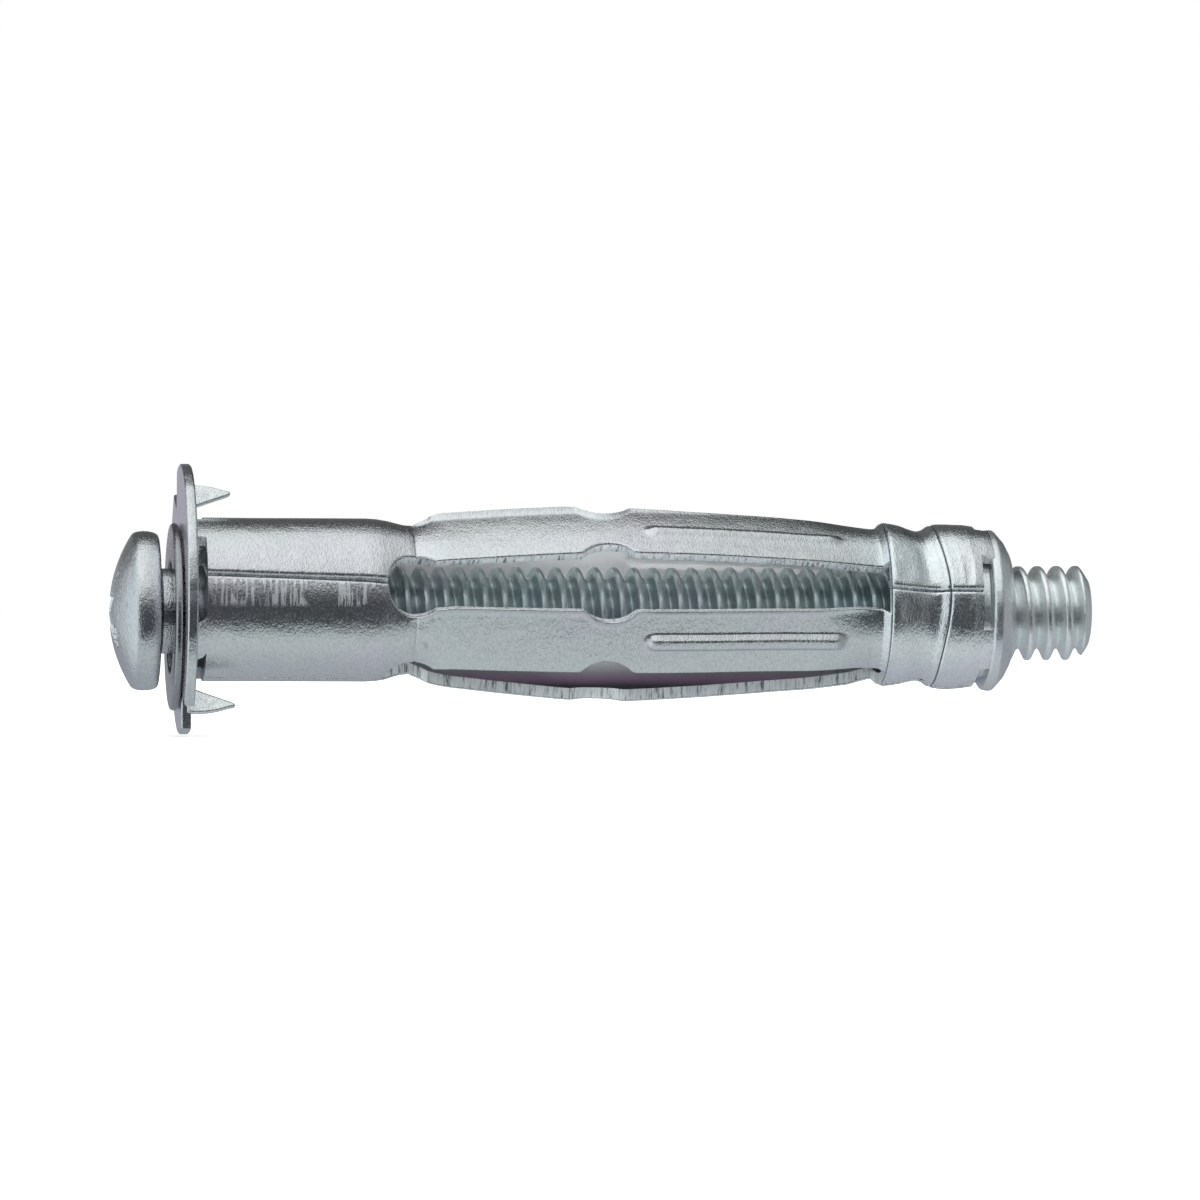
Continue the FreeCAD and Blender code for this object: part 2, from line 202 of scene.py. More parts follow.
def node_tree(owner):
    owner.use_nodes = True
    tree = owner.node_tree
    tree.nodes.clear()
    return tree


def link(tree, source, target):
    tree.links.new(source, target)


def noise(tree, place, scale, detail, rough, stretch=(1, 1, 1)):
    """Noise with scale repeats a metre. A stretch over 1 makes it finer that way."""
    mapping = tree.nodes.new("ShaderNodeMapping")
    mapping.inputs["Scale"].default_value = [s * scale for s in stretch]
    link(tree, place, mapping.inputs["Vector"])
    made = tree.nodes.new("ShaderNodeTexNoise")
    made.inputs["Scale"].default_value = 1.0
    made.inputs["Detail"].default_value = detail
    made.inputs["Roughness"].default_value = rough
    link(tree, mapping.outputs["Vector"], made.inputs["Vector"])
    return made.outputs["Fac"]


def ramp(tree, value, stops):
    """A colour for each value, from stops of (value, colour)."""
    made = tree.nodes.new("ShaderNodeValToRGB")
    elements = made.color_ramp.elements
    while len(elements) < len(stops):
        elements.new(0.5)
    for element, (place, colour) in zip(elements, stops):
        element.position = place
        element.color = (*colour, 1)
    link(tree, value, made.inputs["Fac"])
    return made.outputs["Color"]


def fade_in(tree, value, low, high):
    """Black up to low, white from high on."""
    return ramp(tree, value, [(low, BLACK), (high, WHITE)])


def mix(tree, kind, factor, first, second):
    """Two colours, each a tuple or a socket, mixed by a number or a socket."""
    made = tree.nodes.new("ShaderNodeMix")
    made.data_type = "RGBA"
    made.blend_type = kind
    if isinstance(factor, (int, float)):
        made.inputs["Factor"].default_value = factor
    else:
        link(tree, factor, made.inputs["Factor"])
    for name, item in (("A", first), ("B", second)):
        socket = [i for i in made.inputs if i.name == name and i.type == "RGBA"][0]
        if isinstance(item, tuple):
            socket.default_value = (*item, 1)
        else:
            link(tree, item, socket)
    return [o for o in made.outputs if o.type == "RGBA"][0]


def multiply(tree, first, second):
    return mix(tree, "MULTIPLY", 1.0, first, second)


def maths(tree, operation, *items):
    """A sum over sockets or numbers."""
    made = tree.nodes.new("ShaderNodeMath")
    made.operation = operation
    for socket, item in zip(made.inputs, items):
        if isinstance(item, (int, float)):
            socket.default_value = item
        else:
            link(tree, item, socket)
    return made.outputs[0]


def bump(tree, height, strength, distance, normal=None):
    """A normal from a height. distance is in metres."""
    made = tree.nodes.new("ShaderNodeBump")
    made.inputs["Strength"].default_value = strength
    made.inputs["Distance"].default_value = distance
    link(tree, height, made.inputs["Height"])
    if normal is not None:
        link(tree, normal, made.inputs["Normal"])
    return made.outputs["Normal"]


def coordinates(tree, place):
    """The X, Y and Z of a place."""
    parts = tree.nodes.new("ShaderNodeSeparateXYZ")
    link(tree, place, parts.inputs[0])
    return parts.outputs


def scaled(tree, value, low, high):
    """A value's place between low and high, as 0 to 1."""
    made = tree.nodes.new("ShaderNodeMapRange")
    made.inputs["From Min"].default_value = low
    made.inputs["From Max"].default_value = high
    link(tree, value, made.inputs["Value"])
    return made.outputs["Result"]


def band(tree, value, low, high, soft):
    """White between low and high, fading to black over soft."""
    fade = soft / (high - low + 2 * soft)
    return ramp(tree, scaled(tree, value, low - soft, high + soft), [
        (0, BLACK), (fade, WHITE), (1 - fade, WHITE), (1, BLACK)])


def seen_by_sight(tree):
    """1 for rays of the camera, of reflections and of clear glass, 0 for soft light."""
    rays = tree.nodes.new("ShaderNodeLightPath")
    sight = maths(tree, "MAXIMUM", rays.outputs["Is Camera Ray"], rays.outputs["Is Glossy Ray"])
    sight = maths(tree, "MAXIMUM", sight, rays.outputs["Is Transmission Ray"])
    return sight, rays.outputs["Is Camera Ray"]


# Materials

# Repeats a metre of the zinc's noises, from grain to drifts of tint
FINE_SCALE = 7600.0
MIDDLE_SCALE = 3800.0
BROAD_SCALE = 700.0
STAIN_SCALE = 620.0
DRIFT_SCALE = 110.0
GRAIN_STRETCH = (1.7, 1, 1)
# Depths of their bumps and of the rub marks', in metres
BROAD_BUMP = 0.00008
MIDDLE_BUMP = 0.000022
FINE_BUMP = 0.000017
RUB_BUMP = 0.00004
# Shares of the base colour
DARK_GRAIN = 0.84
PALE_GRAIN = 1.08
STAIN = (0.62, 0.55, 0.47)
BLUE = (0.9, 1.0, 1.04)
LILAC = (1.04, 0.96, 1.05)
WARM = (1.04, 1.02, 0.93)
# Roughness of a rub mark, and the colour that it adds
RUB_ROUGH = 0.55
RUB_GLOW = 0.24
# The X in metres that 0 and 1 stand for in a ramp of painted light and shade
PAINTED_LIGHT_FROM = 0
PAINTED_LIGHT_TO = 0.06


def new_surface(name, metallic):
    """A material with one shader: itself, its tree, its shader and the place on the object."""
    material = bpy.data.materials.new(name)
    tree = node_tree(material)
    out = tree.nodes.new("ShaderNodeOutputMaterial")
    shader = tree.nodes.new("ShaderNodeBsdfPrincipled")
    link(tree, shader.outputs["BSDF"], out.inputs["Surface"])
    shader.inputs["Metallic"].default_value = metallic
    place = tree.nodes.new("ShaderNodeTexCoord").outputs["Object"]
    return material, tree, shader, place


def tinted(base, factors):
    return tuple(c * f for c, f in zip(base, factors))


def scratches(tree, place):
    """Bright rub marks across the barrel, just below the seam."""
    x, y, z = coordinates(tree, place)
    marks = fade_in(tree, noise(tree, place, 5200.0, 2.0, 0.5, (1, 0.05, 0.1)), 0.5, 0.56)
    patches = fade_in(tree, noise(tree, place, 520.0, 1.0, 0.5), 0.42, 0.5)
    marks = multiply(tree, marks, patches)
    marks = multiply(tree, marks, band(tree, x, 0.0012, 0.0122, 0.0004))
    marks = multiply(tree, marks, band(tree, z, -0.0002, 0.001, 0.0003))
    return multiply(tree, marks, band(tree, y, -0.006, -0.002, 0.001))


def zinc(name, base, grain=0.7, tint=0.5, rough=(0.06, 0.3), dents=1.0, rubbed=False, painted_light_and_shade=None):
    """Bright zinc plate over tumbled steel: grainy, faintly tinted and dented.

    rough is the least and greatest roughness of the grain. painted_light_and_shade is a ramp along
    X that multiplies the colour: painted light and shade.
    """
    material, tree, shader, place = new_surface(name, 1.0)
    fine = noise(tree, place, FINE_SCALE, 2.0, 0.6, GRAIN_STRETCH)
    middle = noise(tree, place, MIDDLE_SCALE, 2.0, 0.6, GRAIN_STRETCH)
    broad = noise(tree, place, BROAD_SCALE, 3.0, 0.5)
    drift = noise(tree, place, DRIFT_SCALE, 2.0, 0.5)
    spots = noise(tree, place, STAIN_SCALE, 2.0, 0.5)

    dark = tuple(c * DARK_GRAIN for c in base)
    pale = tuple(min(1.0, c * PALE_GRAIN) for c in base)
    grains = ramp(tree, middle, [(0.36, dark), (0.5, base), (0.62, pale)])
    grains = mix(tree, "MIX", fade_in(tree, spots, 0.715, 0.76), grains, tinted(base, STAIN))
    tints = ramp(tree, drift, [
        (0.3, tinted(base, BLUE)), (0.45, base), (0.56, base), (0.68, tinted(base, LILAC)),
        (0.8, tinted(base, WARM))])
    colour = mix(tree, "MIX", tint, grains, tints)
    # Painted light and shade: the colour is multiplied by a ramp along X.
    if painted_light_and_shade is not None:
        along = scaled(tree, coordinates(tree, place)["X"], PAINTED_LIGHT_FROM, PAINTED_LIGHT_TO)
        colour = multiply(tree, colour, ramp(tree, along, painted_light_and_shade))

    gloss = ramp(tree, fine, [(0.44, (rough[0],) * 3), (0.62, (rough[1],) * 3)])
    normal = None
    if rubbed:
        marks = scratches(tree, place)
        gloss = mix(tree, "MIX", marks, gloss, (RUB_ROUGH,) * 3)
        colour = mix(tree, "ADD", marks, colour, (RUB_GLOW,) * 3)
        normal = bump(tree, marks, 1.0, RUB_BUMP)
    link(tree, colour, shader.inputs["Base Color"])
    link(tree, gloss, shader.inputs["Roughness"])

    normal = bump(tree, broad, 0.6 * dents, BROAD_BUMP, normal)
    normal = bump(tree, middle, grain, MIDDLE_BUMP, normal)
    normal = bump(tree, fine, grain, FINE_BUMP, normal)
    link(tree, normal, shader.inputs["Normal"])
    return material


def cut_zinc():
    """Sheared edges of the sheet: satin, with streaks across the thickness."""
    material, tree, shader, place = new_surface("zinc_cut_edge", 0.75)
    shader.inputs["Roughness"].default_value = 0.42
    streaks = noise(tree, place, 5200.0, 3.0, 0.7, (1, 0.12, 0.12))
    patches = noise(tree, place, 600.0, 2.0, 0.5)
    colour = ramp(tree, streaks, [
        (0.34, (0.2, 0.23, 0.24)), (0.42, (0.72, 0.77, 0.78)), (0.52, (0.97, 1.0, 1.0))])
    colour = multiply(tree, colour, ramp(tree, patches, [(0.35, (0.84, 0.86, 0.9)), (0.6, WHITE)]))
    link(tree, colour, shader.inputs["Base Color"])
    link(tree, bump(tree, streaks, 0.9, 0.00008), shader.inputs["Normal"])
    return material


def lining_zinc():
    """The dull inner face of the sheet, with painted shade by height: nearly black low down,
    through a purplish tint band and grey to pale above.
    """
    material, tree, shader, place = new_surface("zinc_lining_painted_shade", 0.0)
    shader.inputs["Roughness"].default_value = 0.5
    cloud = noise(tree, place, 500.0, 3.0, 0.6)
    grit = noise(tree, place, 4000.0, 2.0, 0.6)
    colour = ramp(tree, cloud, [(0.3, (0.86, 0.87, 0.88)), (0.7, (0.95, 0.95, 0.95))])
    # Painted shade: the colour darkens towards the bottom by height Z.
    height = scaled(tree, coordinates(tree, place)["Z"], -0.006, 0.002)
    colour = multiply(tree, colour, ramp(tree, height, [
        (0.06, (0.02, 0.02, 0.025)), (0.12, (0.34, 0.2, 0.33)), (0.18, (0.36, 0.36, 0.38)),
        (0.4, (0.66, 0.67, 0.69)), (0.7, WHITE)]))
    link(tree, colour, shader.inputs["Base Color"])
    link(tree, bump(tree, grit, 0.6, 0.00002), shader.inputs["Normal"])
    return material


# Painted light: the tail is brightened up to 1.2 times from about 44 mm along X on.
SLEEVE = zinc(
    "zinc_sleeve", (0.69, 0.72, 0.73), grain=1.0, tint=0.45, rubbed=True,
    painted_light_and_shade=[(0.73, WHITE), (0.76, (1.2, 1.2, 1.2))])
# Painted shade: a dark zinc for the faces along the tail's creases.
CREASE_SHADE = zinc("zinc_crease_painted_shade", (0.2, 0.215, 0.22), grain=1.0, rough=(0.3, 0.5))
CUT = cut_zinc()
LINING = lining_zinc()
PLATE = zinc("zinc_plate", (0.84, 0.80, 0.87), tint=0.7, rough=(0.16, 0.34))
CLAW = zinc("zinc_claw", (0.86, 0.9, 0.9), tint=0.3, rough=(0.16, 0.34))
RIM = zinc("zinc_rim", (0.68, 0.71, 0.72), tint=0.3, rough=(0.14, 0.3))
# Painted shade and light along X: full colour near the plate, darkened to about 0.6 inside the
# sleeve, brightened 1.17 times on the free end past the nut.
SCREW = zinc(
    "zinc_screw", (0.78, 0.84, 0.84), grain=0.6, rough=(0.3, 0.46),
    painted_light_and_shade=[
        (0.025, WHITE), (0.05, (0.66, 0.7, 0.71)), (0.77, (0.6, 0.64, 0.65)),
        (0.88, (1.17, 1.13, 1.13))])
HEAD = zinc("zinc_head", (0.64, 0.67, 0.68), grain=1.0, tint=0.4, dents=1.8)
# Painted shade: its base is darkened well below the other zinc parts to stand in for the head's
# shadow and dark reflection.
WASHER_SHADED = zinc("zinc_washer_painted_shade", (0.36, 0.365, 0.38))
NUT = zinc("zinc_nut", (0.8, 0.84, 0.85), rough=(0.28, 0.44))


# Sleeve: one rolled sheet of four quarters, each a leg with a web on either side. The webs
# meet at 45 degrees from the leg's middle, where the slots cut them away.

SHEET_THICKNESS = 0.8
FRONT_END = -0.5
TAB_END = 0.8
SLOT_START = 12.35
SLOT_END = 45.0
TAIL_END = 51.05
TONGUE_END = 51.95
QUARTER_HALF = math.pi / 4

# Half the width of a leg, and half the angle of a tongue behind the tail
LEG_HALF = 2.325
TONGUE_HALF = math.radians(17)

# The round hole at a slot's front end: middle, half lengths before and after it, half angle
BULB_X = 14.1
BULB_BEFORE, BULB_AFTER = 1.75, 1.95
BULB_HALF = math.radians(23.4)

# The round notches in the legs' edges: middle, radius, distance of the round's centre outside
# the edge, and how softly they run out
NOTCH_X, NOTCH_RADIUS, NOTCH_OUTSIDE, NOTCH_EASE = 26.6, 2.02, 1.12, 0.13

# The pressed bead on each leg: its ends, half its width and the length of its round end
BEAD_START, BEAD_END = 28.8, 42.3
BEAD_HALF, BEAD_ROUND = 0.66, 0.6

# Outer radius of the sheet along a leg's middle, and round the barrel and tail
SHEET_LINE = [
    (-0.5, 5.27), (11.3, 5.27), (12.0, 5.23), (12.8, 5.10), (13.7, 4.95), (14.25, 4.86),
    (14.6, 4.92), (15.4, 5.06), (16.5, 5.17), (20.0, 5.45), (24.0, 5.72), (26.0, 5.81),
    (27.2, 5.83), (28.5, 5.80), (30.0, 5.75), (33.5, 5.58), (36.7, 5.36), (39.8, 5.12),
    (43.0, 4.94), (44.3, 4.88), (44.55, 4.90), (44.75, 5.08), (44.95, 5.26), (45.3, 5.30),
    (45.8, 5.24), (46.3, 5.14), (46.8, 4.99), (47.2, 4.90), (47.5, 4.88), (47.8, 4.96),
    (48.1, 5.16), (48.3, 5.25), (48.6, 5.31), (49.4, 5.34), (50.4, 5.33), (50.9, 5.26),
    (51.4, 5.20), (52.0, 5.10),
]

# The seam's place in degrees, and its width, open at the barrel and nearly closed at the tail
SEAM = 15
SEAM_GAP = [(-0.5, 0.2), (6, 0.16), (12.3, 0.24), (45, 0.14), (46.5, 0.16), (48, 0.1), (52, 0.12)]

# Fall of the sheet's own axis towards the tail
SHEET_SAG = [(-0.5, 0), (38, 0), (44.9, -0.09), (47.2, -0.18), (49, -0.24), (52, -0.26)]

# The quarters, in their order round the sleeve:
#   middle   degrees of the leg's middle
#   twist    how far it has turned from there along X, in degrees
#   flat     how nearly flat the leg is across its width
#   outward  how far the leg stands out beyond the others
#   burr     height of the raised burr along its upper edge
#   bead     shift, height, width of its sides and length of its ends
#   wider    extra width below the leg's middle
#   notched  extra width above it, as a share of the notch
PLAIN_BEAD = (0.0, 0.42, 0.44, 0.8)
QUARTERS = [
    {
        "middle": 60, "flat": 0.65, "outward": [(13, 0)], "bead": (0.35, 0.26, 0.62, 1.1),
        "wider": 0.24, "notched": 0.0,
        "twist": [
            (-0.5, 3.6), (11, -0.6), (12.4, -1.8), (14, -4), (16.6, -4.9), (26.5, -5), (36, -4),
            (43, -2.4), (44.7, -2.8), (46, -3.6), (52, -3.6)],
        "burr": [
            (14.4, 0.12), (16, 0.3), (24, 0.3), (28, 0.14), (32, 0.06), (36, 0.02), (44, 0.02)],
    },
    {
        "middle": -30, "flat": 0.88, "outward": [(13, 0)], "bead": PLAIN_BEAD,
        "wider": 0.0, "notched": 0.0,
        "twist": [
            (-0.5, -3), (0.5, -3), (0.8, 3.13), (11, -0.6), (12.4, -1.8), (14, -4), (16.6, 1.1),
            (26.5, 3), (36, 1.5), (43, -0.4), (44.6, -2.6), (44.7, -2.8), (46, -3.6), (52, -3.6)],
        "burr": [(14.4, 0.1), (16, 0.16), (28, 0.17), (36, 0.15), (44, 0.08)],
    },
    {
        "middle": -120, "flat": 0.55, "bead": PLAIN_BEAD, "wider": 0.0, "notched": 0.6,
        "outward": [(14.2, 0.02), (17, 0.25), (26.5, 0.62), (33, 0.5), (43, 0.32), (44.6, 0.05)],
        "twist": [
            (-0.5, 3.6), (11, -0.6), (12.4, -1.8), (14, -3), (26.5, -4), (43, -3),
            (44.7, -2.8), (46, -3.6), (52, -3.6)],
        "burr": [(14.4, 0.05), (44, 0.05)],
    },
    {
        "middle": 150, "flat": 0.6, "bead": PLAIN_BEAD, "wider": 0.0, "notched": 0.0,
        "outward": [(14.2, 0), (26.5, 0.2), (44, 0)],
        "twist": [
            (-0.5, 3.6), (11, -0.6), (12.4, -1.8), (14, -3), (26.5, 0), (44, -2), (44.7, -2.8),
            (46, -3.6), (52, -3.6)],
        "burr": [(14.4, 0.1), (28, 0.2), (44, 0.05)],
    },
]

# A burr's full height reaches this far in from the edge, and its foot this much further
BURR_TOP, BURR_FOOT = 0.13, 0.43
# Radii of the rounded edges: of a leg, of the seam's lower lip and of its upper lip
LEG_ROUND, LOWER_LIP, UPPER_LIP = 0.17, 0.14, 0.3

# Lines pressed into the sheet: X and depth. All are GROOVE_WIDTH wide.
GROOVES = ((45.05, 0.07), (48.36, 0.1), (14.25, 0.04))
GROOVE_WIDTH = 0.07
# Places along X of the tail's two sharp creases, and half their width; faces there take painted
# shade
CREASES = (45.03, 48.36)
CREASE_HALF = 0.045
# Staking dents beside the tail's seam: place, degrees, half sizes and depth
DENTS = [
    (46.0, 25, 0.4, 7, 0.07), (50.0, 24, 0.42, 7, 0.08), (46.1, -3, 0.42, 8, 0.08),
    (47.9, -1, 0.4, 7, 0.1), (49.5, -2, 0.5, 8, 0.08), (47.1, 34, 0.3, 14, 0.08),
    (48.6, 205, 0.4, 8, 0.08), (46.2, 196, 0.4, 8, 0.07), (49.8, 178, 0.4, 8, 0.07),
]
# The crimped lines of the tail lean back most at this angle, over this spread, in degrees
SKEW, SKEW_MIDDLE, SKEW_SPREAD = 0.55, 8, 38

# Lines of points along the sheet, each as its kind, its side and its share: of the leg's half
# width from the middle, or of the web from its outer edge to the leg. A tab covers 14 of the
# 45 degrees to either side.
TAB_HALF = 14.0 / 45.0
NEAR_EDGE = (0.76, 0.82, 0.87, 0.905, 0.925, 0.945, 0.962, 0.978, 0.993, 1.0)
ON_BEAD = (0.05, 0.11, 0.14, 0.2, 0.22, 0.24, 0.285)
LEG_SHARES = sorted({
    round(float(share), 4)
    for share in (
        *np.linspace(-0.7, 0.7, 13),
        *(side * share for side in (-1, 1) for share in (*NEAR_EDGE, TAB_HALF, *ON_BEAD)))
})
WEB_SHARES = (0, 0.015, 0.035, 0.065, 0.105, 0.155, 0.3, 0.6)
# A web that doesn't end at the seam needs none of its lines nearer its edge than this
PLAIN_WEB = 0.2
COLUMNS = [
    *(("web", -1, share) for share in WEB_SHARES),
    *(("leg", 0, share) for share in LEG_SHARES),
    *(("web", 1, share) for share in reversed(WEB_SHARES)),
]


def stations():
    """Places along X where the sheet has a ring of points."""
    xs = [FRONT_END, -0.35, 0.0, 0.3, 0.6, TAB_END, 0.9, 1.05]
    xs += list(SLOT_START + BULB_BEFORE * (1 - np.cos(np.linspace(0, math.pi / 2, 12))))
    for start, end, step in (
        (1.5, 11.0, 1.0), (11.2, 12.3, 0.2), (14.2, 16.9, 0.14), (17.0, 24.4, 0.45),
        (24.4, 28.7, 0.16), (28.7, 30.2, 0.2), (30.2, 41.0, 0.5), (41.0, 43.9, 0.24),
        (43.9, 51.0, 0.14), (44.7, 45.3, 0.06), (48.1, 48.6, 0.05), (51.15, TONGUE_END, 0.12),
    ):
        xs += list(np.arange(start, end, step))
    xs += [SLOT_END, TAIL_END, TONGUE_END]
    xs += [x for x, _ in SHEET_LINE]
    exact = (SLOT_START, SLOT_END, TAIL_END, TONGUE_END, TAB_END)
    xs = sorted(set(round(float(x), 3) for x in xs if x <= TONGUE_END))
    kept = [xs[0]]
    for x in xs[1:]:
        if x - kept[-1] > 0.035:
            kept.append(x)
        elif x in exact:
            kept[-1] = x
    return kept


def notch(x):
    """Depth of the notch in the middle of a leg's edge."""
    arc = math.sqrt(max(0.0, NOTCH_RADIUS ** 2 - (x - NOTCH_X) ** 2)) - NOTCH_OUTSIDE
    return 0.5 * (arc + math.hypot(arc, NOTCH_EASE))


def slot_half(x):
    """Half the angle of the gap between two legs at x."""
    if x < SLOT_START:
        return 0.0
    radius = along_line(SHEET_LINE, max(x, 15.4))
    plain = QUARTER_HALF - math.asin(min(1.0, LEG_HALF / radius))
    before = x < BULB_X
    along = (x - BULB_X) / (BULB_BEFORE if before else BULB_AFTER)
    bulb = 0.0
    if abs(along) < 1:
        power = 2.0 if before else 2.2
        bulb = BULB_HALF * (1 - abs(along) ** power) ** (1 / power)
    return bulb if before else max(bulb, plain + notch(x) / radius)


def edge_line(x):
    """Angle from a leg's middle to the column line that follows its edge."""
    if x <= SLOT_START:
        return QUARTER_HALF
    if x <= SLOT_END:
        return QUARTER_HALF - slot_half(x)
    at_end = QUARTER_HALF - slot_half(SLOT_END)
    t = min(1.0, max(0.0, (x - SLOT_END) / (50.5 - SLOT_END)))
    return at_end * (1 - t) + TONGUE_HALF * t


def bead(quarter, x, across):
    """Height of the pressed bead at x, and this far from the leg's middle."""
    shift, height, side, end = quarter["bead"]
    along = min(x - BEAD_START, BEAD_END - x)
    if along <= 0:
        return 0.0
    width = BEAD_HALF * math.sqrt(min(1.0, along / BEAD_ROUND))
    inward = width - abs(across + shift)
    if inward <= 0:
        return 0.0
    return height * smooth(inward / side) * smooth(along / end)


def burr(quarter, x, gap):
    """Lift of the sheet this far inside a leg's upper edge."""
    if gap > BURR_TOP + BURR_FOOT:
        return 0.0
    height = along_line(quarter["burr"], x) * smooth((x - 13.6) / 1.2) * smooth((44.5 - x) / 1.5)
    if gap < BURR_TOP:
        return height
    return height * (1 - (gap - BURR_TOP) / BURR_FOOT) ** 2.2


def rolled(gap, radius):
    """Drop of a rounded edge this far from it."""
    if gap >= radius:
        return 0.0
    return radius - math.sqrt(radius ** 2 - (radius - gap) ** 2)


def sheet_ring(quarter, x):
    """A quarter's points at x, one to each column.

    Each is X, the leg's turn, height over the leg's middle line, place across it, lift of the
    outer face and angle from the leg's middle.
    """
    middle = math.radians(quarter["middle"])
    twist = math.radians(along_line(quarter["twist"], x))
    edge = edge_line(x)
    radius = along_line(SHEET_LINE, x) + along_line(quarter["outward"], x)
    bowed = smooth((x - 13.0) / 3.5) * smooth((44.5 - x) / 5)
    flat = quarter["flat"] * bowed
    half_gap = along_line(SEAM_GAP, x) / 2
    cut = SLOT_START < x < SLOT_END
    points = []
    for kind, side, share in COLUMNS:
        if kind == "leg":
            angle = edge * share
            extra = quarter["notched"] * notch(x) if share > 0 else quarter["wider"]
            angle += extra * bowed / radius * share ** 3
        else:
            angle = side * (QUARTER_HALF * (1 - share) + edge * share)
        away = math.copysign(1, angle)
        at_seam = abs(off_by(quarter["middle"] + 45 * away, SEAM)) < 1
        if kind == "web" and share < PLAIN_WEB and not at_seam:
            angle = side * QUARTER_HALF
        lift = 0.0
        if kind == "leg":
            lift += bead(quarter, x, edge * share * radius)
        if at_seam and not cut:
            angle *= 1 - half_gap / radius / QUARTER_HALF
            gap = (QUARTER_HALF - abs(angle)) * radius - half_gap
            lift -= rolled(max(0.0, gap), UPPER_LIP if away < 0 else LOWER_LIP)
        elif cut and kind == "leg":
            gap = (1 - abs(share)) * edge * radius
            lift -= rolled(gap, LEG_ROUND)
            if share > 0:
                lift += burr(quarter, x, gap)
        level = radius * (1 - (1 - flat) * (1 - math.cos(angle)))
        points.append((x, middle + twist, level, radius * math.sin(angle), lift, angle))
    return points


def sheet_faces(xs, start):
    """A quarter's faces, without the slots and the gaps between tabs and tongues."""
    faces = []
    width = len(COLUMNS)
    for i in range(len(xs) - 1):
        middle = (xs[i] + xs[i + 1]) / 2
        no_web = middle < TAB_END or SLOT_START < middle < SLOT_END or middle > TAIL_END
        for j in range(width - 1):
            here, there = COLUMNS[j], COLUMNS[j + 1]
            if no_web and "web" in (here[0], there[0]):
                continue
            if middle < TAB_END and abs((here[2] + there[2]) / 2) > TAB_HALF:
                continue
            a = start + i * width + j
            faces.append([a, a + 1, a + width + 1, a + width])
    return faces


def pressed(x, turn, lift):
    """Height of the outer face with its unevenness, pressed lines and staking dents."""
    degrees = np.degrees(turn)
    tail = np.clip((x - 44.6) / 1.2, 0, 1)
    rise = lift + 0.02 * wobble(x, turn, 3) + 0.05 * tail * wobble(3.2 * x, turn, 8)
    for line, depth in GROOVES:
        rise -= depth * np.exp(-((x - line) / GROOVE_WIDTH) ** 2)
    for place, middle, half_long, half_wide, depth in DENTS:
        across = off_by(degrees, middle)
        rise -= depth * np.exp(-((x - place) / half_long) ** 4 - (across / half_wide) ** 4)
    return rise


def open_edges(faces):
    """Edges that only one face has, in the sense opposite to that face's."""
    seen = {edge for face in faces for edge in zip(face, face[1:] + face[:1])}
    return sorted((b, a) for a, b in seen if (b, a) not in seen)


def make_sleeve():
    """The outer face, the lining under it and the cut edges between the two."""
    xs = stations()
    spots = []
    faces = []
    for quarter in QUARTERS:
        faces += sheet_faces(xs, len(spots))
        for x in xs:
            spots += sheet_ring(quarter, x)
    flat_x, middle, level, across, lift, angle = np.array(spots).T
    turn = middle + angle
    rise = pressed(flat_x, turn, lift)
    skew = np.clip((flat_x - 45.6) / 2, 0, 1) * np.clip((50.6 - flat_x) / 1.6, 0, 1)
    from_middle = off_by(np.degrees(turn), SKEW_MIDDLE)
    x = flat_x + SKEW * skew * np.exp(-(from_middle / SKEW_SPREAD) ** 2)
    lean = np.arctan2(across, level)
    sag = along_line(SHEET_SAG, x)

    def place(height):
        radial = level + height * np.cos(lean)
        sideways = across + height * np.sin(lean)
        y = -(radial * np.cos(middle) - sideways * np.sin(middle))
        z = radial * np.sin(middle) + sideways * np.cos(middle) + sag
        return np.stack([x, y, z], axis=1)

    outside = place(rise)
    first, inverse = joined(outside)
    skin = rejoined(faces, inverse)
    # The lining follows a bead, but not the burrs and rounded edges
    inside = place(0.6 * np.maximum(0.0, lift) * (np.abs(angle) < 0.2) - SHEET_THICKNESS)
    count = len(first)
    linings = [[i + count for i in reversed(face)] for face in skin]
    walls = [[a, b, b + count, a + count] for a, b in open_edges(skin)]
    stood = flat_x[first]
    # Faces along the two creases take the dark crease material: painted shade.
    crease_shaded = [
        any(abs(stood[face].mean() - line) < CREASE_HALF for line in CREASES) for face in skin]
    kinds = [3 * crease for crease in crease_shaded] + [1] * len(linings) + [2] * len(walls)
    return make_mesh(
        "sleeve_sheet", np.vstack([outside[first], inside[first]]), skin + linings + walls,
        [SLEEVE, LINING, CUT, CREASE_SHADE], 38, kinds=kinds)


# Screw

PITCH = 1.27
CREST = 3.08
ROOT = 2.32
THREAD_START = -0.1
THREAD_END = 58.7
THREAD_SEGMENTS = 72
# Share of a turn from the crest's middle, and share of the way from root to crest
THREAD_FORM = [
    (0.00, 1.00), (0.09, 0.99), (0.15, 0.91), (0.21, 0.74), (0.28, 0.48), (0.36, 0.22),
    (0.43, 0.05), (0.50, 0.0), (0.57, 0.05), (0.64, 0.22), (0.72, 0.48), (0.80, 0.74),
    (0.85, 0.91), (0.91, 0.99),
]
# Greatest radius of the screw near its end
POINT_LINE = [(57.7, 9.0), (58.15, 3.05), (58.5, 2.62), (58.7, 2.28)]

# Pan head: its underside, rim and top along X, and the rim's radius
HEAD_FOOT = -2.1
HEAD_RIM = -3.8
HEAD_APEX = -5.2
HEAD_RADIUS = 4.9
HEAD_RINGS = 74
HEAD_SEGMENTS = 144
# Cross recess: turn about the screw, reach and half width of an arm, depth, and the widths
# over which it falls away at an arm's side and at its end
RECESS_TURN = math.radians(43)
RECESS_ARM = 2.9
RECESS_HALF = 0.62
RECESS_DEPTH = 1.25
RECESS_SIDE = 0.1
RECESS_END = 0.7


